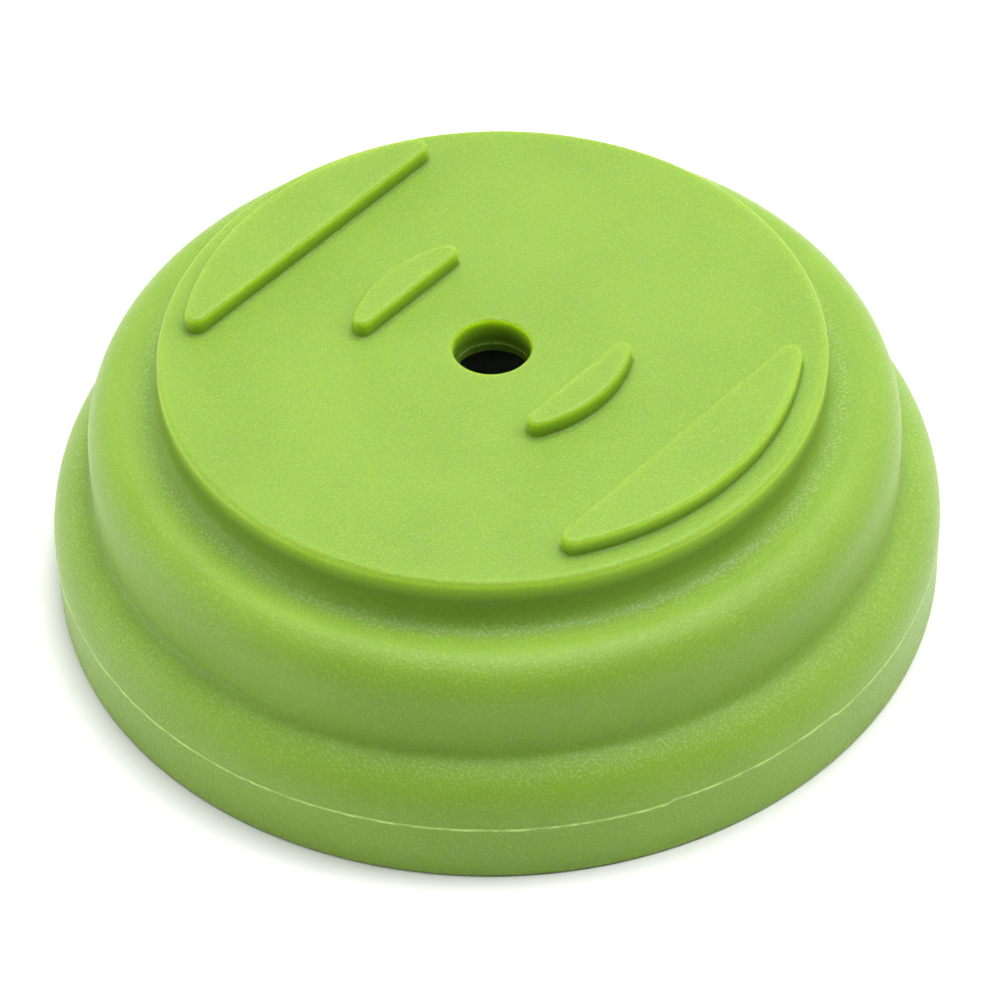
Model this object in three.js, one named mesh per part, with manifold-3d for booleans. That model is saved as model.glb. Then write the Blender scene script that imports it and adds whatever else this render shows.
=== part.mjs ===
// A stepped soft cap that turns a drinking glass or a jar into a wasp trap.
// Units are millimetres and +Z is up. The origin is on the cap's axis, in the plane of the
// rim that it stands on. The straight edges of the four grip pads run along Y.

import * as THREE from 'three';
import { mergeVertices } from 'three/addons/utils/BufferGeometryUtils.js';
import Module from 'manifold-3d';

const wasm = await Module();
wasm.setup();

// ---------------------------------------------------------------- driving dimensions

// Outside of the cap: three round tiers.
const RIM_RADIUS = 50.0;
const FOOT_RADIUS = 49.9;
const RIM_SEAM_Z = 7.56;
const MIDDLE_RADIUS = 45.2;
const MIDDLE_WALL_TOP_Z = 20.25;
const DISC_RADIUS = 36.9;
const DISC_TOP_Z = 31.56;
const DISC_EDGE = 0.8;
const FOOT_EDGE = 0.5;

// Grooves where one tier meets the next: each is a hollow round corner at the foot of a wall.
const UPPER_GROOVE_Z = 25.35;
const UPPER_GROOVE_FILLET = 1.7;
const MIDDLE_CREST_RADIUS = 40.7;
const MIDDLE_CREST_Z = 25.5;
const LOWER_GROOVE_Z = 13.9;
const LOWER_GROOVE_FILLET = 1.4;
const RIM_SLOPE = THREE.MathUtils.degToRad(25);

// Handle length that makes a Bezier curve a quarter of an ellipse.
const ROUND = 0.5523;

// Entrance hole. A short lip goes on below the ceiling, and a collar stands round it. The ring
// groove between the two is the socket that holds the entry tube.
const BORE_RADIUS = 4.37;
const BORE_EDGE = 0.3;
const CEILING_Z = 28.03;
const LIP_BOTTOM_Z = 26.8;
const LIP_OUTER_RADIUS = 5.2;
const COLLAR_BOTTOM_Z = 25.0;
const COLLAR_THICKNESS = 2.2;

// Three seats inside, one for each size of glass. Each is a flat ledge that faces down.
const SMALL_SEAT_RADIUS = 33.0;
const MEDIUM_SEAT_RADIUS = 41.0;
const MEDIUM_SEAT_Z = 22.5;
const LARGE_SEAT_RADIUS = 46.0;
const LARGE_SEAT_Z = 11.0;

// Grip pads on the disc: each is the piece of a circle that a straight chord cuts off.
const PAD_HEIGHT = 2.15;
const PAD_EDGE = 0.45;
const PAD_ROOT = 1.0;
const OUTER_PAD = { chord: 25.9, radius: 34.1, tip: 1.3 };
const INNER_PAD = { chord: 11.5, radius: 15.6, tip: 1.1 };

// Entry tube: clear, stiff, and pushed into the socket from below.
const FIT_GAP = 0.3;
const TUBE_WALL = 1.4;
const TUBE_INNER_RADIUS = LIP_OUTER_RADIUS + FIT_GAP;
const TUBE_OUTER_RADIUS = TUBE_INNER_RADIUS + TUBE_WALL;
const TUBE_BOTTOM_Z = 10.0;
const TUBE_EDGE = 0.25;
const FLANGE_RADIUS = 9.5;
const FLANGE_THICKNESS = 1.5;

// Fineness of round shapes.
const CAP_SEGMENTS = 64;
const TUBE_SEGMENTS = 40;
const ARC_STEPS = 2;
const SHOULDER_STEPS = 5;
const PAD_CURVE_STEPS = 8;

const QUARTER = Math.PI / 2;
const TAU = Math.PI * 2;

// ---------------------------------------------------------------- helpers

// The points of a Path: lines keep their ends, and each curve gets its own number of steps.
function sectionPoints(path) {
  const points = [];
  for (const curve of path.curves) {
    let steps = 1;
    if (curve.isEllipseCurve) {
      steps = ARC_STEPS;
    }
    if (curve.isCubicBezierCurve) {
      steps = SHOULDER_STEPS;
    }
    const stretch = curve.getPoints(steps);
    stretch.pop();
    points.push(...stretch);
  }
  points.push(points[0].clone());
  return points;
}

// Turns a closed section (radius, height) about the Z axis. The section runs outside first, then
// inside, and is turned in reverse order, so that its faces point outwards.
function turned(path, segments) {
  const points = sectionPoints(path).reverse();
  const geometry = new THREE.LatheGeometry(points, segments, 0, TAU);
  return geometry.rotateX(QUARTER);
}

// A round shoulder from the path's end. It leaves at a downward slope (0 is level) and ends
// upright at the given radius and height.
function addShoulder(path, slope, toRadius, toZ) {
  const from = path.currentPoint;
  const outReach = (toRadius - from.x) * ROUND;
  const downReach = (from.y - toZ) * ROUND;
  const handleZ = from.y - outReach * Math.tan(slope);
  path.bezierCurveTo(from.x + outReach, handleZ, toRadius, toZ + downReach, toRadius, toZ);
}

function toSolid(geometry) {
  const bare = geometry.clone();
  bare.deleteAttribute('normal');
  bare.deleteAttribute('uv');
  const merged = mergeVertices(bare, 1e-4);
  return new wasm.Manifold(new wasm.Mesh({
    numProp: 3,
    vertProperties: new Float32Array(merged.attributes.position.array),
    triVerts: new Uint32Array(merged.index.array),
  }));
}

function toGeometry(solid) {
  const mesh = solid.getMesh();
  const geometry = new THREE.BufferGeometry();
  geometry.setAttribute('position', new THREE.BufferAttribute(mesh.vertProperties, 3));
  geometry.setIndex(new THREE.BufferAttribute(mesh.triVerts, 1));
  geometry.computeVertexNormals();
  return geometry;
}

function namedMesh(name, geometry, material) {
  const mesh = new THREE.Mesh(geometry, material);
  mesh.name = name;
  return mesh;
}

// ---------------------------------------------------------------- cap

// Outside of the cap, from the entrance hole out to the rim and down to the foot.
function addOutside(path) {
  path.lineTo(BORE_RADIUS, DISC_TOP_Z - BORE_EDGE);
  path.absarc(BORE_RADIUS + BORE_EDGE, DISC_TOP_Z - BORE_EDGE, BORE_EDGE, Math.PI, QUARTER, true);
  path.lineTo(DISC_RADIUS - DISC_EDGE, DISC_TOP_Z);
  path.absarc(DISC_RADIUS - DISC_EDGE, DISC_TOP_Z - DISC_EDGE, DISC_EDGE, QUARTER, 0, true);

  const upperFillet = UPPER_GROOVE_FILLET;
  const upperStart = DISC_RADIUS + upperFillet;
  path.absarc(upperStart, UPPER_GROOVE_Z + upperFillet, upperFillet, Math.PI, 3 * QUARTER, false);
  path.lineTo(MIDDLE_CREST_RADIUS, MIDDLE_CREST_Z);
  addShoulder(path, 0, MIDDLE_RADIUS, MIDDLE_WALL_TOP_Z);

  const lowerFillet = LOWER_GROOVE_FILLET;
  const filletCentre = [MIDDLE_RADIUS + lowerFillet, LOWER_GROOVE_Z + lowerFillet];
  path.absarc(...filletCentre, lowerFillet, Math.PI, 3 * QUARTER - RIM_SLOPE, false);
  addShoulder(path, RIM_SLOPE, RIM_RADIUS, RIM_SEAM_Z);

  path.lineTo(FOOT_RADIUS, FOOT_EDGE);
  path.absarc(FOOT_RADIUS - FOOT_EDGE, FOOT_EDGE, FOOT_EDGE, 0, -QUARTER, true);
}

// Inside of the cap, from the foot up over the three seats to the socket.
function addInside(path) {
  path.lineTo(LARGE_SEAT_RADIUS + FOOT_EDGE, 0);
  path.absarc(LARGE_SEAT_RADIUS + FOOT_EDGE, FOOT_EDGE, FOOT_EDGE, -QUARTER, -Math.PI, true);
  path.lineTo(LARGE_SEAT_RADIUS, LARGE_SEAT_Z);
  path.lineTo(MEDIUM_SEAT_RADIUS, LARGE_SEAT_Z);
  path.lineTo(MEDIUM_SEAT_RADIUS, MEDIUM_SEAT_Z);
  path.lineTo(SMALL_SEAT_RADIUS, MEDIUM_SEAT_Z);
  path.lineTo(SMALL_SEAT_RADIUS, CEILING_Z);

  const socketRadius = TUBE_OUTER_RADIUS + FIT_GAP;
  path.lineTo(socketRadius + COLLAR_THICKNESS, CEILING_Z);
  path.lineTo(socketRadius + COLLAR_THICKNESS, COLLAR_BOTTOM_Z);
  path.lineTo(socketRadius, COLLAR_BOTTOM_Z);
  path.lineTo(socketRadius, CEILING_Z);
  path.lineTo(LIP_OUTER_RADIUS, CEILING_Z);
  path.lineTo(LIP_OUTER_RADIUS, LIP_BOTTOM_Z);
  path.lineTo(BORE_RADIUS, LIP_BOTTOM_Z);
}

function capSection() {
  const path = new THREE.Path();
  path.moveTo(BORE_RADIUS, LIP_BOTTOM_Z);
  addOutside(path);
  addInside(path);
  return path;
}

// Outline of a pad on the +X side: an outer arc, two round tips and the straight chord.
function padOutline({ chord, radius, tip }) {
  const tipX = chord + tip;
  const tipY = Math.sqrt((radius - tip) ** 2 - tipX ** 2);
  const tipAngle = Math.atan2(tipY, tipX);
  const outline = new THREE.Shape();
  outline.absarc(0, 0, radius, -tipAngle, tipAngle, false);
  outline.absarc(tipX, tipY, tip, tipAngle, Math.PI, false);
  outline.absarc(tipX, -tipY, tip, Math.PI, TAU - tipAngle, false);
  return outline;
}

// A pad as a solid. Its root is sunk into the disc, and its top edge is rounded.
function padSolid(size, side) {
  const geometry = new THREE.ExtrudeGeometry(padOutline(size), {
    depth: PAD_ROOT + PAD_HEIGHT - 2 * PAD_EDGE,
    curveSegments: PAD_CURVE_STEPS,
    bevelThickness: PAD_EDGE,
    bevelSize: PAD_EDGE,
    bevelOffset: -PAD_EDGE,
    bevelSegments: 2,
  });
  geometry.translate(0, 0, DISC_TOP_Z - PAD_ROOT + PAD_EDGE);
  geometry.rotateZ(side > 0 ? 0 : Math.PI);
  return toSolid(geometry);
}

function makeCap() {
  let solid = toSolid(turned(capSection(), CAP_SEGMENTS));
  for (const size of [OUTER_PAD, INNER_PAD]) {
    for (const side of [1, -1]) {
      solid = solid.add(padSolid(size, side));
    }
  }
  const material = new THREE.MeshStandardMaterial({
    color: 0xa4cc5c,
    roughness: 0.6,
    metalness: 0,
  });
  return namedMesh('cap', toGeometry(solid), material);
}

// ---------------------------------------------------------------- entry tube

function tubeSection() {
  const top = CEILING_Z - FIT_GAP;
  const flangeTop = TUBE_BOTTOM_Z + FLANGE_THICKNESS;
  const path = new THREE.Path();
  path.moveTo(TUBE_INNER_RADIUS, TUBE_BOTTOM_Z + TUBE_EDGE);
  path.lineTo(TUBE_INNER_RADIUS, top - TUBE_EDGE);
  path.absarc(TUBE_INNER_RADIUS + TUBE_EDGE, top - TUBE_EDGE, TUBE_EDGE, Math.PI, QUARTER, true);
  path.absarc(TUBE_OUTER_RADIUS - TUBE_EDGE, top - TUBE_EDGE, TUBE_EDGE, QUARTER, 0, true);
  path.lineTo(TUBE_OUTER_RADIUS, flangeTop);
  path.absarc(FLANGE_RADIUS - TUBE_EDGE, flangeTop - TUBE_EDGE, TUBE_EDGE, QUARTER, 0, true);
  path.absarc(FLANGE_RADIUS - TUBE_EDGE, TUBE_BOTTOM_Z + TUBE_EDGE, TUBE_EDGE, 0, -QUARTER, true);
  path.lineTo(TUBE_INNER_RADIUS + TUBE_EDGE, TUBE_BOTTOM_Z);
  path.lineTo(TUBE_INNER_RADIUS, TUBE_BOTTOM_Z + TUBE_EDGE);
  return path;
}

function makeEntryTube() {
  const material = new THREE.MeshStandardMaterial({
    color: 0xe8f0ee,
    roughness: 0.1,
    metalness: 0,
    transparent: true,
    opacity: 0.35,
  });
  return namedMesh('entry_tube', turned(tubeSection(), TUBE_SEGMENTS), material);
}

// ---------------------------------------------------------------- assembly

const waspTrapCap = new THREE.Group();
waspTrapCap.add(makeCap());
waspTrapCap.add(makeEntryTube());

export default waspTrapCap;
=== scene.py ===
# %% [markdown]
# # A soft green cap that turns a glass into a wasp trap
#
# The cap is one moulding in a soft, slightly see-through plastic. It has three round tiers, a
# flat disc with a hole for the wasps, and four grip pads. A clear tube sits in a socket under
# the hole. The CAD model gives every size. This script gives the two pieces their fine shape,
# their finish and their light.

# %% Load the frame
import math

import bmesh
import bpy
from mathutils import Matrix, Vector, noise
from mathutils.geometry import interpolate_bezier


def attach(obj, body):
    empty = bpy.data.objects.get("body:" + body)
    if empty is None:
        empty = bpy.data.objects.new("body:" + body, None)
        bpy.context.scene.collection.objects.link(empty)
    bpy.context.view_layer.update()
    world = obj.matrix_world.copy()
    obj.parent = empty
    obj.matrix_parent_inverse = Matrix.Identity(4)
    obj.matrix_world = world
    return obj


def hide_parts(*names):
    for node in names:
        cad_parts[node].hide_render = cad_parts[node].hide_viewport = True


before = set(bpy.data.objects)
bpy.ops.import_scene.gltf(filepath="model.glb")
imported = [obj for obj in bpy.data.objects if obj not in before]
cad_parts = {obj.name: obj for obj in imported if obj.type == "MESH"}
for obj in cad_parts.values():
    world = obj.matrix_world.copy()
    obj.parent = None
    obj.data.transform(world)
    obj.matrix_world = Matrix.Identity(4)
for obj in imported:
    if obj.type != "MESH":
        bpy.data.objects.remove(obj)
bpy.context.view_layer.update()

scene = bpy.context.scene
MM = 0.001

# %% [markdown]
# ## The camera
#
# A long lens, about 0.6 m away and looking down at 45 degrees, shows the disc, all three tiers
# and the hole at once with little perspective. The camera is aimed at a point just above the
# foot and is rolled slightly, because a hand-held camera is never quite level.

# %% Camera
CAMERA_AZIMUTH = math.radians(42.0)
CAMERA_ELEVATION = math.radians(44.78)
CAMERA_DISTANCE = 0.6058
CAMERA_ROLL = math.radians(-1.72)
CAMERA_LENS = 191.3
AIM = Vector((0.00031, 0.00028, 0.00786))

level = math.cos(CAMERA_ELEVATION)
camera_place = CAMERA_DISTANCE * Vector((
    math.sin(CAMERA_AZIMUTH) * level,
    -math.cos(CAMERA_AZIMUTH) * level,
    math.sin(CAMERA_ELEVATION),
))
camera = bpy.data.objects.new("camera", bpy.data.cameras.new("camera"))
camera.data.lens = CAMERA_LENS
camera.data.sensor_width = 36.0
looking = (AIM - camera_place).to_track_quat("-Z", "Y").to_matrix().to_4x4()
camera.matrix_world = Matrix.Translation(camera_place) @ looking @ Matrix.Rotation(CAMERA_ROLL, 4, "Z")
scene.collection.objects.link(camera)
scene.camera = camera
print("camera at", tuple(round(v, 4) for v in camera_place))

# %% [markdown]
# ## Drawing a section
#
# Both pieces are turned shapes, so each starts as a section: a chain of edges in the plane
# Y = 0, where X is the radius and Z the height. A small pen draws it. A straight wall is
# extruded vertex by vertex, and gets a holding point close to each end, which keeps its shading
# flat right up to the rounding. An arc is a vertex that is spun about the arc's centre.
# A shoulder is a Bezier curve, because its two radii differ.

# %% The pen
HOLD = 0.25              # millimetres from a holding point to its wall's end
ARC_STEPS = 5
FINE_ARC_STEPS = 8
SHOULDER_STEPS = 18
ROUND = 0.5523           # handle length that makes a Bezier curve a quarter ellipse
SAME_PLACE = 1e-7        # metres between two vertices that are really one


def at(radius, height):
    """The place of a point of a section, given in millimetres."""
    return Vector((radius * MM, 0.0, height * MM))


def step_to(bm, last, place):
    """Extrudes one edge from the last vertex to a place."""
    grown = bmesh.ops.extrude_vert_indiv(bm, verts=[last])["verts"][0]
    grown.co = place
    return grown


def wall_to(bm, last, radius, height):
    """A straight wall with a holding point near each end."""
    start = last.co.copy()
    end = at(radius, height)
    run = end - start
    if run.length > 3 * HOLD * MM:
        hold = run.normalized() * HOLD * MM
        last = step_to(bm, last, start + hold)
        last = step_to(bm, last, end - hold)
    return step_to(bm, last, end)


def arc(bm, last, centre, degrees, steps=ARC_STEPS):
    """Turns the last vertex about a centre (radius, height). Positive is clockwise."""
    spun = bmesh.ops.spin(
        bm, geom=[last], cent=at(*centre), axis=(0, 1, 0), dvec=(0, 0, 0),
        angle=math.radians(degrees), steps=steps, use_merge=False,
    )
    return next(part for part in spun["geom_last"] if isinstance(part, bmesh.types.BMVert))


def shoulder(bm, last, slope, radius, height):
    """A round shoulder that leaves at a slope, in degrees down from level, and ends upright."""
    start = last.co.copy()
    end = at(radius, height)
    outward = (end.x - start.x) * ROUND
    downward = (start.z - end.z) * ROUND
    first_handle = start + Vector((outward, 0.0, -outward * math.tan(math.radians(slope))))
    last_handle = end + Vector((0.0, 0.0, downward))
    curve = interpolate_bezier(start, first_handle, last_handle, end, SHOULDER_STEPS + 1)
    for place in curve[1:]:
        last = step_to(bm, last, place)
    return last


def spin_round(bm, steps):
    """Turns everything drawn so far once about the Z axis and closes the seam."""
    bmesh.ops.spin(
        bm, geom=bm.verts[:] + bm.edges[:], cent=(0, 0, 0), axis=(0, 0, 1), dvec=(0, 0, 0),
        angle=math.tau, steps=steps, use_merge=True,
    )


# %% [markdown]
# ## The section of the cap
#
# The section starts on the disc, runs down the outside over the tiers to the foot, up the inside
# over the three seats to the socket, and ends on the disc again beside the hole. It is left open
# there, because the disc between the two ends isn't round: it carries the pads.
#
# Where the halves of the mould met, the plastic crept out into a thin line of flash, once round
# the rim and once in the hole. It is drawn into the section as a small ridge.

# %% Sizes of the cap, in millimetres
DISC_TOP = 31.56
DISC_RADIUS = 36.9
DISC_EDGE = 0.8
UPPER_GROOVE = (38.6, 25.35)
UPPER_FILLET = 1.7
MIDDLE_CREST = (40.7, 25.5)
MIDDLE_SHOULDER_END = (45.2, 20.25)
LOWER_GROOVE = (46.6, 13.9)
LOWER_FILLET = 1.4
RIM_SLOPE = 25
SEAM_RADIUS = 49.88
SEAM_Z = 7.56
SEAM_HALF = 0.24         # half the height of the flash at its root
RIDGE_TOP = 0.3          # where the ridge's flat tip starts and ends, as shares of SEAM_HALF
RIDGE_BOTTOM = -0.2
FLASH_HEIGHT = 0.1
HOLE_FLASH_HEIGHT = 0.22
FOOT_RADIUS = 49.8
FOOT_EDGE = 0.5
INNER_ROUND = 0.5
SEATS = [(46.0, 11.0), (41.0, 22.5), (33.0, 28.03)]
CEILING = 28.03
COLLAR_OUTER = 9.4
COLLAR_INNER = 7.2
COLLAR_BOTTOM = 25.0
COLLAR_EDGE = 0.3
LIP_OUTER = 5.2
LIP_BOTTOM = 26.8
LIP_EDGE = 0.2
BORE_RADIUS = 4.37
BORE_EDGE = 0.35
SUPPORT = 0.35           # width of the flat strip that holds the shading beside an edge


# %% Outside of the section
def draw_outside(bm):
    """Draws from the disc to the foot, and returns the last vertex."""
    last = bm.verts.new(at(DISC_RADIUS - DISC_EDGE - SUPPORT, DISC_TOP))
    last = step_to(bm, last, at(DISC_RADIUS - DISC_EDGE, DISC_TOP))
    last = arc(bm, last, (DISC_RADIUS - DISC_EDGE, DISC_TOP - DISC_EDGE), 90, FINE_ARC_STEPS)
    groove_r, groove_z = UPPER_GROOVE
    last = wall_to(bm, last, groove_r - UPPER_FILLET, groove_z + UPPER_FILLET)
    last = arc(bm, last, (groove_r, groove_z + UPPER_FILLET), -90, FINE_ARC_STEPS)
    last = wall_to(bm, last, *MIDDLE_CREST)
    last = shoulder(bm, last, 0, *MIDDLE_SHOULDER_END)
    groove_r, groove_z = LOWER_GROOVE
    last = wall_to(bm, last, groove_r - LOWER_FILLET, groove_z + LOWER_FILLET)
    last = arc(bm, last, (groove_r, groove_z + LOWER_FILLET), RIM_SLOPE - 90, FINE_ARC_STEPS)
    last = shoulder(bm, last, RIM_SLOPE, SEAM_RADIUS, SEAM_Z + SEAM_HALF)
    last = step_to(bm, last, at(SEAM_RADIUS + FLASH_HEIGHT, SEAM_Z + RIDGE_TOP * SEAM_HALF))
    last = step_to(bm, last, at(SEAM_RADIUS + FLASH_HEIGHT, SEAM_Z + RIDGE_BOTTOM * SEAM_HALF))
    last = step_to(bm, last, at(SEAM_RADIUS, SEAM_Z - SEAM_HALF))
    last = wall_to(bm, last, FOOT_RADIUS, FOOT_EDGE)
    return arc(bm, last, (FOOT_RADIUS - FOOT_EDGE, FOOT_EDGE), 90)


# %% Inside of the section
def draw_inside(bm, last):
    """Draws from the foot up over the seats and through the hole to the disc."""
    radius = SEATS[0][0]
    last = wall_to(bm, last, radius + FOOT_EDGE, 0.0)
    last = arc(bm, last, (radius + FOOT_EDGE, FOOT_EDGE), 90)
    inner_radii = [seat[0] for seat in SEATS[1:]] + [COLLAR_OUTER]
    for (radius, height), next_radius in zip(SEATS, inner_radii):
        last = wall_to(bm, last, radius, height - INNER_ROUND)
        last = arc(bm, last, (radius - INNER_ROUND, height - INNER_ROUND), -90)
        last = wall_to(bm, last, next_radius + INNER_ROUND, height)
        if next_radius != COLLAR_OUTER:
            last = arc(bm, last, (next_radius + INNER_ROUND, height + INNER_ROUND), 90)
    last = arc(bm, last, (COLLAR_OUTER + INNER_ROUND, CEILING - INNER_ROUND), -90)
    last = wall_to(bm, last, COLLAR_OUTER, COLLAR_BOTTOM + COLLAR_EDGE)
    last = arc(bm, last, (COLLAR_OUTER - COLLAR_EDGE, COLLAR_BOTTOM + COLLAR_EDGE), 90)
    last = wall_to(bm, last, COLLAR_INNER + COLLAR_EDGE, COLLAR_BOTTOM)
    last = arc(bm, last, (COLLAR_INNER + COLLAR_EDGE, COLLAR_BOTTOM + COLLAR_EDGE), 90)
    last = wall_to(bm, last, COLLAR_INNER, CEILING)
    last = wall_to(bm, last, LIP_OUTER, CEILING)
    last = wall_to(bm, last, LIP_OUTER, LIP_BOTTOM + LIP_EDGE)
    last = arc(bm, last, (LIP_OUTER - LIP_EDGE, LIP_BOTTOM + LIP_EDGE), 90)
    last = wall_to(bm, last, BORE_RADIUS + LIP_EDGE, LIP_BOTTOM)
    last = arc(bm, last, (BORE_RADIUS + LIP_EDGE, LIP_BOTTOM + LIP_EDGE), 90)
    last = wall_to(bm, last, BORE_RADIUS, CEILING - SEAM_HALF)
    last = step_to(bm, last, at(BORE_RADIUS - HOLE_FLASH_HEIGHT, CEILING))
    last = step_to(bm, last, at(BORE_RADIUS, CEILING + SEAM_HALF))
    last = wall_to(bm, last, BORE_RADIUS, DISC_TOP - BORE_EDGE)
    last = arc(bm, last, (BORE_RADIUS + BORE_EDGE, DISC_TOP - BORE_EDGE), 90)
    return step_to(bm, last, at(BORE_RADIUS + BORE_EDGE + SUPPORT, DISC_TOP))


# %% [markdown]
# The section is spun once round the axis. 480 steps put a vertex every 0.65 mm along the rim,
# which is fine enough for the ragged flash.

# %% Spin the wall of the cap
CAP_STEPS = 480

cap_bm = bmesh.new()
foot = draw_outside(cap_bm)
draw_inside(cap_bm, foot)
print("points in the cap's section:", len(cap_bm.verts))
spin_round(cap_bm, CAP_STEPS)
bmesh.ops.remove_doubles(cap_bm, verts=cap_bm.verts[:], dist=SAME_PLACE)
print("faces in the cap's wall:", len(cap_bm.faces))

# %% [markdown]
# ## Grip pads
#
# Each pad is the piece of a circle that a straight chord cuts off, with round tips. Its outline
# is a vertex spun along the outer arc, then round one tip, along the chord and round the other
# tip. The outline is filled with one face, and the face is inset again and again: each inset
# goes a little inwards and a little up, so the insets draw the fillet at the root, the wall and
# the round top edge. One flat inset at each end holds the shading of the flat faces.

# %% Pad sizes and outline, in millimetres
PAD_HEIGHT = 2.15
PAD_EDGE = 0.45
PAD_FILLET = 0.35
PAD_DRAFT = 0.06
PAD_RIM = 0.12
PAD_SKIRT = SUPPORT + PAD_FILLET + PAD_DRAFT / 2
OUTER_PAD = {"chord": 25.9, "radius": 34.1, "tip": 1.3, "arc_steps": 72, "chord_steps": 40}
INNER_PAD = {"chord": 11.5, "radius": 15.6, "tip": 1.1, "arc_steps": 36, "chord_steps": 20}
TIP_STEPS = 16


def spin_flat(bm, last, centre, angle, steps):
    """Turns the last vertex about an upright axis through a centre."""
    spun = bmesh.ops.spin(
        bm, geom=[last], cent=centre, axis=(0, 0, 1), dvec=(0, 0, 0),
        angle=angle, steps=steps, use_merge=False,
    )
    return next(part for part in spun["geom_last"] if isinstance(part, bmesh.types.BMVert))


def pad_face(bm, size):
    """The face inside a pad's outline, widened all round by the skirt."""
    top = DISC_TOP * MM
    tip_x = size["chord"] + size["tip"]
    tip_y = math.sqrt((size["radius"] - size["tip"]) ** 2 - tip_x ** 2)
    tip_angle = math.atan2(tip_y, tip_x)
    reach = (size["radius"] + PAD_SKIRT) * MM
    right_tip = Vector((tip_x * MM, -tip_y * MM, top))
    left_tip = Vector((tip_x * MM, tip_y * MM, top))
    chord_x = (size["chord"] - PAD_SKIRT) * MM
    first = bm.verts.new((reach * math.cos(tip_angle), -reach * math.sin(tip_angle), top))
    last = spin_flat(bm, first, (0, 0, top), 2 * tip_angle, size["arc_steps"])
    last = spin_flat(bm, last, left_tip, math.pi - tip_angle, TIP_STEPS)
    for step in range(1, size["chord_steps"] + 1):
        share = step / size["chord_steps"]
        last = step_to(bm, last, Vector((chord_x, (1 - 2 * share) * tip_y * MM, top)))
    spin_flat(bm, last, right_tip, math.pi - tip_angle, TIP_STEPS)
    bmesh.ops.remove_doubles(bm, verts=bm.verts[:], dist=10 * SAME_PLACE)
    return bmesh.ops.contextual_create(bm, geom=bm.edges[:])["faces"][0]


# %% Raise a pad by insets
def pad_steps():
    """Each inset's way inwards and upwards, in millimetres, from the skirt to the top."""
    steps = [(SUPPORT, 0.0)]
    turns = [math.radians(90 * k / ARC_STEPS) for k in range(ARC_STEPS + 1)]
    for before, after in zip(turns, turns[1:]):
        inwards = PAD_FILLET * (math.sin(after) - math.sin(before))
        upwards = PAD_FILLET * (math.cos(before) - math.cos(after))
        steps.append((inwards, upwards))
    steps.append((PAD_DRAFT, PAD_HEIGHT - PAD_FILLET - PAD_EDGE))
    for before, after in zip(turns, turns[1:]):
        inwards = PAD_EDGE * (math.cos(before) - math.cos(after))
        upwards = PAD_EDGE * (math.sin(after) - math.sin(before))
        steps.append((inwards, upwards))
    steps.append((PAD_RIM, 0.0))
    return steps


def make_pad(size, side):
    """A pad on the +X or the -X side, as a mesh that is open underneath."""
    bm = bmesh.new()
    face = pad_face(bm, size)
    if face.normal.z < 0:
        face.normal_flip()
    for inwards, upwards in pad_steps():
        bmesh.ops.inset_region(
            bm, faces=[face], thickness=inwards * MM, depth=upwards * MM,
            use_boundary=True, use_even_offset=True,
        )
    if side < 0:
        bmesh.ops.rotate(bm, verts=bm.verts[:], cent=(0, 0, 0), matrix=Matrix.Rotation(math.pi, 3, "Z"))
    mesh = bpy.data.meshes.new("pad")
    bm.to_mesh(mesh)
    bm.free()
    return mesh


for pad_size in (OUTER_PAD, INNER_PAD):
    for pad_side in (1, -1):
        pad_mesh = make_pad(pad_size, pad_side)
        cap_bm.from_mesh(pad_mesh)
        bpy.data.meshes.remove(pad_mesh)
print("faces with the four pads:", len(cap_bm.faces))

# %% [markdown]
# The open edges that are left all lie in the disc: its round outline, the hole's edge and the
# skirts of the four pads. One fill closes the flat disc between them.

# %% Close the disc
open_edges = [edge for edge in cap_bm.edges if edge.is_boundary]
bmesh.ops.triangle_fill(cap_bm, use_beauty=True, use_dissolve=False, edges=open_edges, normal=(0, 0, 1))
still_open = sum(1 for edge in cap_bm.edges if not edge.is_manifold)
print("edges left open on the cap:", still_open)

# %% [markdown]
# ## Ragged flash
#
# Real flash is uneven: it is thicker here and thinner there, it wanders up and down a little,
# and it jumps where the mould was nicked. Seeded noise along the rim moves the ridge. A vertex
# attribute called "flash" marks the ridge, so that the material can paint on it the glow of the light
# that shines through the thin plastic.

# %% Waves of noise round a circle
NICK_START = math.radians(-27.0)
NICK_END = math.radians(-2.0)
NICK_RISE = 0.35
# Each wave has a strength, a fineness and a seed.
RISE_WAVES = [(0.08, 4.0, 9.0), (0.08, 38.0, 7.0), (0.05, 110.0, 3.0)]
SPREAD_WAVES = [(0.9, 14.0, 2.0), (0.9, 110.0, 5.0)]
SPREAD_MIDDLE = 0.5
RIM_SPREAD_LEAST = 0.1
HOLE_SPREAD_LEAST = 0.5
FLASH_GLOW_LEAST = 0.3         # how far the thinnest flash takes on the painted glow


def add_waves(angle, waves, middle=0.0):
    """Smooth noise at an angle round a circle, which meets itself after a full turn."""
    total = middle
    for strength, fineness, seed in waves:
        place = Vector((math.cos(angle) * fineness, math.sin(angle) * fineness, seed))
        total += strength * noise.noise(place)
    return total


# %% Move the flash
def is_near_seam(radius, height):
    """Says whether a vertex belongs to the ridge round the rim or to its two roots."""
    return radius > SEAM_RADIUS - 0.01 and abs(height - SEAM_Z) < 1.1 * SEAM_HALF


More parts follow.
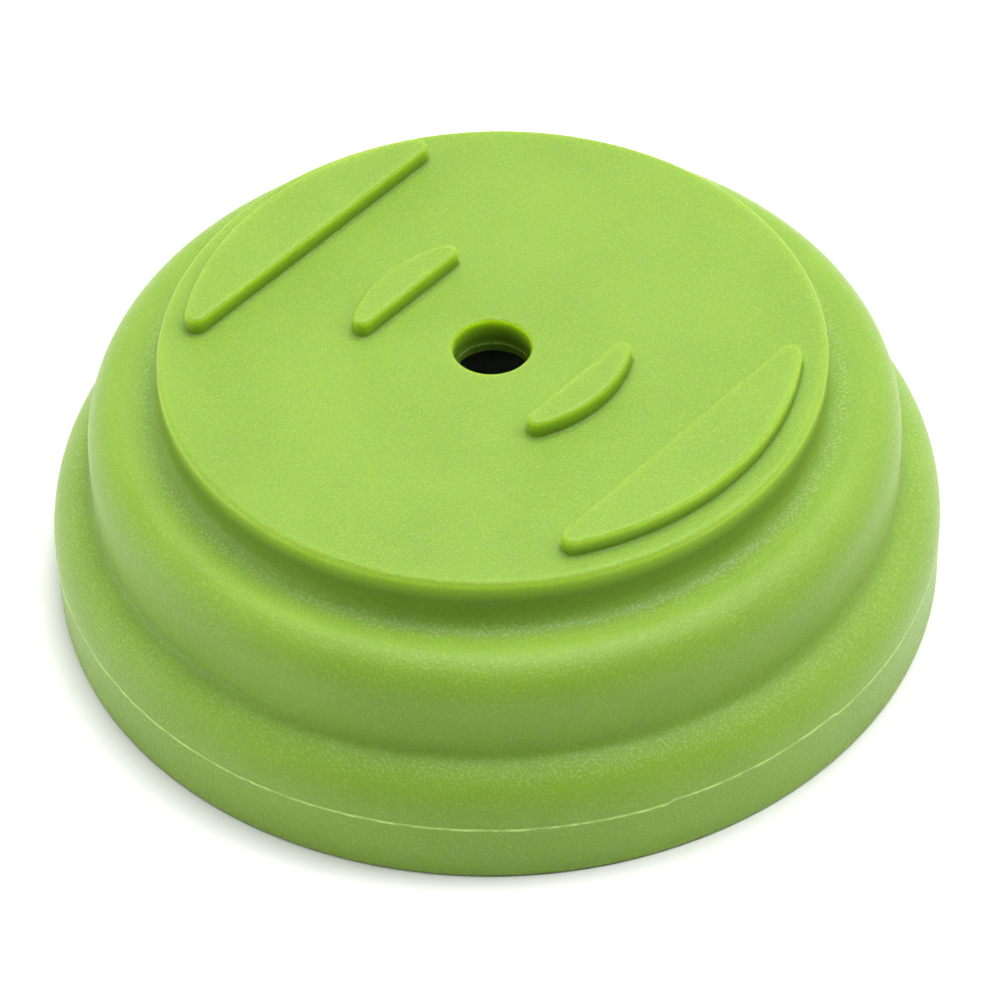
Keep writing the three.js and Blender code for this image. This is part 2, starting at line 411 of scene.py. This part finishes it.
def move_flash(bm):
    """Makes both ridges ragged, marks their tips, and returns how many vertices it marked."""
    layer = bm.verts.layers.float.new("flash")
    marked = 0
    for vert in bm.verts:
        radius = math.hypot(vert.co.x, vert.co.y) / MM
        angle = math.atan2(vert.co.y, vert.co.x)
        near_seam = is_near_seam(radius, vert.co.z / MM)
        on_rim = near_seam and radius > SEAM_RADIUS + 0.5 * FLASH_HEIGHT
        in_hole = radius < BORE_RADIUS - 0.5 * HOLE_FLASH_HEIGHT
        if not (near_seam or in_hole):
            continue
        rise = add_waves(angle, RISE_WAVES)
        if near_seam and NICK_START < angle < NICK_END:
            rise += NICK_RISE
        vert.co.z += rise * MM
        if not (on_rim or in_hole):
            continue
        spread = add_waves(angle, SPREAD_WAVES, SPREAD_MIDDLE)
        spread = min(max(spread, RIM_SPREAD_LEAST), 1.0)
        if on_rim:
            new_radius = SEAM_RADIUS + FLASH_HEIGHT * spread
        else:
            new_radius = BORE_RADIUS - HOLE_FLASH_HEIGHT * max(spread, HOLE_SPREAD_LEAST)
        vert.co.x *= new_radius / radius
        vert.co.y *= new_radius / radius
        vert[layer] = FLASH_GLOW_LEAST + (1 - FLASH_GLOW_LEAST) * spread
        marked += 1
    return marked


print("flash vertices marked:", move_flash(cap_bm))


# %% Finish the cap's mesh
def make_piece(bm, name, body, node):
    """Turns a bmesh into a smooth-shaded piece that stands for a CAD node."""
    bmesh.ops.recalc_face_normals(bm, faces=bm.faces[:])
    mesh = bpy.data.meshes.new(name)
    bm.to_mesh(mesh)
    bm.free()
    mesh.shade_smooth()
    piece = bpy.data.objects.new(name, mesh)
    scene.collection.objects.link(piece)
    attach(piece, body)
    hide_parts(node)
    print(name, "has", len(mesh.polygons), "faces")
    return piece


cap = make_piece(cap_bm, "cap_moulding", "cap_body", "cap")

# %% [markdown]
# ## The clear tube
#
# The tube is a turned shape too, with a round top rim, a straight bore and a finger flange at
# the bottom.

# %% Clear entry tube
TUBE_INNER = 5.5
TUBE_OUTER = 6.9
TUBE_TOP = 27.73
TUBE_BOTTOM = 10.0
TUBE_EDGE = 0.25
FLANGE_RADIUS = 9.5
FLANGE_TOP = 11.5
TUBE_STEPS = 128

tube_bm = bmesh.new()
pen = tube_bm.verts.new(at(TUBE_INNER, TUBE_BOTTOM + TUBE_EDGE))
pen = wall_to(tube_bm, pen, TUBE_INNER, TUBE_TOP - TUBE_EDGE)
pen = arc(tube_bm, pen, (TUBE_INNER + TUBE_EDGE, TUBE_TOP - TUBE_EDGE), 90)
pen = wall_to(tube_bm, pen, TUBE_OUTER - TUBE_EDGE, TUBE_TOP)
pen = arc(tube_bm, pen, (TUBE_OUTER - TUBE_EDGE, TUBE_TOP - TUBE_EDGE), 90)
pen = wall_to(tube_bm, pen, TUBE_OUTER, FLANGE_TOP + TUBE_EDGE)
pen = arc(tube_bm, pen, (TUBE_OUTER + TUBE_EDGE, FLANGE_TOP + TUBE_EDGE), -90)
pen = wall_to(tube_bm, pen, FLANGE_RADIUS - TUBE_EDGE, FLANGE_TOP)
pen = arc(tube_bm, pen, (FLANGE_RADIUS - TUBE_EDGE, FLANGE_TOP - TUBE_EDGE), 90)
pen = wall_to(tube_bm, pen, FLANGE_RADIUS, TUBE_BOTTOM + TUBE_EDGE)
pen = arc(tube_bm, pen, (FLANGE_RADIUS - TUBE_EDGE, TUBE_BOTTOM + TUBE_EDGE), 90)
pen = wall_to(tube_bm, pen, TUBE_INNER + TUBE_EDGE, TUBE_BOTTOM)
pen = arc(tube_bm, pen, (TUBE_INNER + TUBE_EDGE, TUBE_BOTTOM + TUBE_EDGE), 90)
spin_round(tube_bm, TUBE_STEPS)
bmesh.ops.remove_doubles(tube_bm, verts=tube_bm.verts[:], dist=SAME_PLACE)
print("open edges on the tube:", sum(1 for edge in tube_bm.edges if not edge.is_manifold))
tube = make_piece(tube_bm, "entry_tube_clear", "tube_body", "entry_tube")

# %% [markdown]
# ## Finishes
#
# The soft plastic is matt, with the fine grain that a spark-eroded mould leaves. Light goes a
# few millimetres into it and comes out yellower. A Principled shader has all of this: base
# colour, roughness, subsurface scattering and a bump. The helpers below add one node each, so
# that a material reads like a recipe.

# %% Helpers for node materials
def new_material(name):
    """A node material with only its Principled shader, and the node tree to add to."""
    material = bpy.data.materials.new(name)
    material.use_nodes = True
    tree = material.node_tree
    shader = tree.nodes["Principled BSDF"]
    return material, tree, shader


def add_noise(tree, coordinates, scale, detail, roughness=0.5):
    """A noise texture on the piece's own coordinates."""
    node = tree.nodes.new("ShaderNodeTexNoise")
    node.inputs["Scale"].default_value = scale
    node.inputs["Detail"].default_value = detail
    node.inputs["Roughness"].default_value = roughness
    tree.links.new(coordinates, node.inputs["Vector"])
    return node.outputs["Fac"]


def add_range(tree, value, low, high, out_low, out_high):
    """Maps a value from one range to another."""
    node = tree.nodes.new("ShaderNodeMapRange")
    node.inputs["From Min"].default_value = low
    node.inputs["From Max"].default_value = high
    node.inputs["To Min"].default_value = out_low
    node.inputs["To Max"].default_value = out_high
    tree.links.new(value, node.inputs["Value"])
    return node.outputs["Result"]


def add_math(tree, operation, first, second):
    """Combines two values, such as by MULTIPLY or MAXIMUM."""
    node = tree.nodes.new("ShaderNodeMath")
    node.operation = operation
    tree.links.new(first, node.inputs[0])
    tree.links.new(second, node.inputs[1])
    return node.outputs["Value"]


def add_z(tree, vector):
    """The Z part of a place or a direction."""
    node = tree.nodes.new("ShaderNodeSeparateXYZ")
    tree.links.new(vector, node.inputs["Vector"])
    return node.outputs["Z"]


def add_radius(tree, coordinates):
    """The distance of a place from the Z axis."""
    flat = tree.nodes.new("ShaderNodeVectorMath")
    flat.operation = "MULTIPLY"
    flat.inputs[1].default_value = (1.0, 1.0, 0.0)
    tree.links.new(coordinates, flat.inputs[0])
    length = tree.nodes.new("ShaderNodeVectorMath")
    length.operation = "LENGTH"
    tree.links.new(flat.outputs["Vector"], length.inputs[0])
    return length.outputs["Value"]


def add_mix(tree, share, first, second):
    """Mixes two colours. Each is a colour or a socket."""
    node = tree.nodes.new("ShaderNodeMix")
    node.data_type = "RGBA"
    tree.links.new(share, node.inputs["Factor"])
    for value, socket in ((first, node.inputs["A"]), (second, node.inputs["B"])):
        if isinstance(value, bpy.types.NodeSocket):
            tree.links.new(value, socket)
        else:
            socket.default_value = (*value, 1.0)
    return node.outputs["Result"]


# %% [markdown]
# The upright walls of the disc, the hole and the pads glow near their top edges, because light
# that falls on the flat top comes out through them. Scattering alone shows little of this on so
# deep a green, so this light is also painted into the colour of these walls: a painted shade,
# deeper than the body, at the foot, running to a painted yellow-green glow at the edge.

# %% Painted glow and shade in the edges
SHADED_FOOT_GREEN = (0.120, 0.230, 0.008)
GLOWING_EDGE_GREEN = (0.320, 0.540, 0.018)
GLOWING_HOLE_GREEN = (0.520, 0.820, 0.020)
GLOW_HEIGHTS = (26.5, 28.5)      # millimetres above the floor, where this colour comes in
GLOW_SHARE = 0.75
DISC_GLOW = (-2.6, -0.5)         # millimetres above the disc's top, from the foot to the edge
PAD_GLOW = (0.2, 1.8)
HOLE_GLOW_RADII = (6.0, 8.0)     # millimetres from the axis, where the hole's glow goes over


def add_painted_edge_glow(tree, place, body):
    """Paints light and shade on the upright walls near the disc: shade at the foot, glow at the top
    edge.
    """
    height = add_z(tree, place)
    normal_z = add_z(tree, tree.nodes.new("ShaderNodeNewGeometry").outputs["Normal"])
    upright = add_range(tree, normal_z, 0.25, 0.75, 1.0, 0.0)
    disc_low, disc_high = [(DISC_TOP + rise) * MM for rise in DISC_GLOW]
    pad_low, pad_high = [(DISC_TOP + rise) * MM for rise in PAD_GLOW]
    on_disc = add_range(tree, height, disc_low, disc_high, 0.0, 1.0)
    on_pad = add_range(tree, height, pad_low, pad_high, 0.0, 1.0)
    is_pad = add_range(tree, height, DISC_TOP * MM, (DISC_TOP + 0.05) * MM, 0.0, 1.0)
    near, far = [radius * MM for radius in HOLE_GLOW_RADII]
    in_hole = add_range(tree, add_radius(tree, place), near, far, 1.0, 0.0)
    top_edge = add_mix(tree, in_hole, GLOWING_EDGE_GREEN, GLOWING_HOLE_GREEN)
    disc_wall = add_mix(tree, on_disc, SHADED_FOOT_GREEN, top_edge)
    pad_wall = add_mix(tree, on_pad, SHADED_FOOT_GREEN, GLOWING_EDGE_GREEN)
    wall = add_mix(tree, is_pad, disc_wall, pad_wall)
    low, high = [level * MM for level in GLOW_HEIGHTS]
    near_disc = add_range(tree, height, low, high, 0.0, GLOW_SHARE)
    return add_mix(tree, add_math(tree, "MULTIPLY", near_disc, upright), body, wall)


# %% [markdown]
# The two grooves between the tiers get pale glints painted into their colour: a painted highlight,
# where light sparkles off the grain in the concave fillets. Each groove is a ring, so its glints lie
# in a band of radii that fades at both sides, at the groove's own height.

# %% Painted glints in the grooves
GROOVE_GLINT_GREEN = (0.500, 0.620, 0.340)
GLINT_FADE_IN = 0.8
GLINT_FADE_OUT = 1.2
# Radii between which the painted glints are full, and heights where they are full and gone, in
# millimetres.
UPPER_GLINTS = {"radii": (37.8, 38.6), "heights": (24.5, 24.0), "strength": 0.20}
LOWER_GLINTS = {"radii": (46.3, 47.5), "heights": (15.0, 15.5), "strength": 0.09}


def add_groove_glints(tree, place, glint_band):
    """How strongly one groove's painted glints cover each place."""
    radius = add_radius(tree, place)
    inner, outer = [edge * MM for edge in glint_band["radii"]]
    full, gone = [level * MM for level in glint_band["heights"]]
    rise = add_range(tree, radius, inner - GLINT_FADE_IN * MM, inner, 0.0, 1.0)
    fall = add_range(tree, radius, outer, outer + GLINT_FADE_OUT * MM, 1.0, 0.0)
    level = add_range(tree, add_z(tree, place), full, gone, glint_band["strength"], 0.0)
    return add_math(tree, "MULTIPLY", add_math(tree, "MULTIPLY", rise, fall), level)


def add_painted_glints(tree, place, grain):
    """Painted highlight: pale glints on the grain in both grooves."""
    upper = add_groove_glints(tree, place, UPPER_GLINTS)
    lower = add_groove_glints(tree, place, LOWER_GLINTS)
    coarse = add_range(tree, grain, 0.48, 0.62, 0.0, 1.0)
    return add_math(tree, "MULTIPLY", add_math(tree, "MAXIMUM", upper, lower), coarse)


# %% [markdown]
# The whole finish is built from the inside out: cloudy green, then the specks of the grain, the
# painted glints in the grooves, the painted glow and shade of the edges and the painted glow of the
# flash. The same grain drives the colour of the specks, the roughness and the bump, so that they agree.

# %% Soft green plastic
LEAF_GREEN = (0.219, 0.374, 0.033)
DEEP_GREEN = (0.200, 0.348, 0.028)
SPECK_GREEN = (0.310, 0.480, 0.080)
# Painted glow: the thin flash, lit through, is coloured paler than the body.
FLASH_GLOW_GREEN = (0.560, 0.790, 0.230)
CLOUD_SCALE = 60.0
GRAIN_SCALE = 3300.0


def soft_green():
    """Soft leaf green plastic: matt, grained, slightly see-through."""
    material, tree, shader = new_material("soft_green")
    place = tree.nodes.new("ShaderNodeTexCoord").outputs["Object"]
    clouds = add_range(tree, add_noise(tree, place, CLOUD_SCALE, 2.0), 0.35, 0.65, 0.0, 1.0)
    body = add_mix(tree, clouds, DEEP_GREEN, LEAF_GREEN)
    grain = add_noise(tree, place, GRAIN_SCALE, 2.0, 0.6)
    body = add_mix(tree, add_range(tree, grain, 0.50, 0.72, 0.0, 0.6), body, SPECK_GREEN)
    # Painted highlight: pale glints in both grooves, where light sparkles off the grain.
    body = add_mix(tree, add_painted_glints(tree, place, grain), body, GROOVE_GLINT_GREEN)
    # Painted glow and shade: the walls near the disc are deep at the foot and bright at the top edge.
    body = add_painted_edge_glow(tree, place, body)
    flash = tree.nodes.new("ShaderNodeAttribute")
    flash.attribute_name = "flash"
    # Painted glow on the flash ridges, where light shines through the thin plastic.
    colour = add_mix(tree, flash.outputs["Fac"], body, FLASH_GLOW_GREEN)
    tree.links.new(colour, shader.inputs["Base Color"])

    tree.links.new(add_range(tree, grain, 0.3, 0.7, 0.42, 0.30), shader.inputs["Roughness"])
    bump = tree.nodes.new("ShaderNodeBump")
    bump.inputs["Strength"].default_value = 1.0
    bump.inputs["Distance"].default_value = 0.00014
    tree.links.new(grain, bump.inputs["Height"])
    tree.links.new(bump.outputs["Normal"], shader.inputs["Normal"])

    shader.inputs["IOR"].default_value = 1.38
    shader.inputs["Subsurface Weight"].default_value = 1.0
    shader.inputs["Subsurface Radius"].default_value = (1.3, 1.0, 0.10)
    shader.inputs["Subsurface Scale"].default_value = 0.0028
    return material


# %% Clear plastic
def clear_plastic():
    """Clear, stiff plastic with a faint waviness."""
    material, tree, shader = new_material("clear_plastic")
    place = tree.nodes.new("ShaderNodeTexCoord").outputs["Object"]
    waves = add_noise(tree, place, 300.0, 1.0)
    tree.links.new(add_range(tree, waves, 0.3, 0.7, 0.03, 0.10), shader.inputs["Roughness"])
    bump = tree.nodes.new("ShaderNodeBump")
    bump.inputs["Strength"].default_value = 0.1
    bump.inputs["Distance"].default_value = 0.0001
    tree.links.new(waves, bump.inputs["Height"])
    tree.links.new(bump.outputs["Normal"], shader.inputs["Normal"])
    shader.inputs["Base Color"].default_value = (0.93, 0.96, 0.95, 1.0)
    shader.inputs["IOR"].default_value = 1.49
    shader.inputs["Transmission Weight"].default_value = 1.0
    return material


cap.data.materials.append(soft_green())
tube.data.materials.append(clear_plastic())
print("finishes:", cap.data.materials[0].name, "and", tube.data.materials[0].name)

# %% [markdown]
# ## Floor and light
#
# The cap stands on plain white. A wide, soft light hangs over it, a little behind, so the disc is
# bright and the near walls are darker. Two smaller lights stand low on the left and higher on the
# right, and put a pale sheen on the crests.
#
# The floor ends before its light fades. Past it, the world is the same white at the horizon and
# behind the cap, so that no edge shows, and dim elsewhere, so that the shadows keep their depth.

# %% Floor
FLOOR_HALF = 0.65        # metres

floor_bm = bmesh.new()
bmesh.ops.create_grid(floor_bm, x_segments=1, y_segments=1, size=FLOOR_HALF)
floor_mesh = bpy.data.meshes.new("floor")
floor_bm.to_mesh(floor_mesh)
floor_bm.free()
floor = bpy.data.objects.new("floor", floor_mesh)
scene.collection.objects.link(floor)
floor_material, floor_tree, floor_shader = new_material("floor")
floor_shader.inputs["Base Color"].default_value = (0.86, 0.86, 0.86, 1.0)
floor_shader.inputs["Roughness"].default_value = 0.9
floor.data.materials.append(floor_material)
print("floor is", 2 * FLOOR_HALF, "m wide")

# %% Lights
away = Vector((-math.sin(CAMERA_AZIMUTH), math.cos(CAMERA_AZIMUTH), 0.0))
right = Vector((math.cos(CAMERA_AZIMUTH), math.sin(CAMERA_AZIMUTH), 0.0))
up = Vector((0.0, 0.0, 1.0))
LIGHT_AIM = 0.015 * up


def soft_box(name, place, size, watts):
    """A square soft light at a place, aimed at the cap."""
    light = bpy.data.lights.new(name, "AREA")
    light.shape = "SQUARE"
    light.size = size
    light.energy = watts
    box = bpy.data.objects.new(name, light)
    box.location = place
    box.rotation_euler = (LIGHT_AIM - place).to_track_quat("-Z", "Y").to_euler()
    scene.collection.objects.link(box)
    print(name, "gives", watts, "W")


soft_box("top_light", 0.08 * away + 0.10 * right + 0.92 * up, size=0.8, watts=13.0)
soft_box("left_light", -0.95 * right + 0.25 * up, size=0.4, watts=2.8)
soft_box("right_light", 0.75 * right + 0.68 * up, size=0.4, watts=2.8)

# %% World
HORIZON_RISE = (0.06, 0.20)      # upward part of a direction, where white goes over to dim
SKY_STRENGTH = 0.12
BACKDROP_TURN = (0.2, 0.8)       # part of a direction that points away, from dark to white

world = bpy.data.worlds.new("white_horizon")
world.use_nodes = True
sky = world.node_tree
direction = sky.nodes.new("ShaderNodeTexCoord").outputs["Generated"]
horizon = add_range(sky, add_z(sky, direction), *HORIZON_RISE, 1.0, SKY_STRENGTH)
facing = sky.nodes.new("ShaderNodeVectorMath")
facing.operation = "DOT_PRODUCT"
facing.inputs[1].default_value = away
sky.links.new(direction, facing.inputs[0])
backdrop = add_range(sky, facing.outputs["Value"], *BACKDROP_TURN, 0.0, 1.0)
background = sky.nodes["Background"]
background.inputs["Color"].default_value = (1.0, 1.0, 1.0, 1.0)
sky.links.new(add_math(sky, "MAXIMUM", horizon, backdrop), background.inputs["Strength"])
scene.world = world
scene.view_settings.view_transform = "Standard"
print("world nodes:", len(sky.nodes))
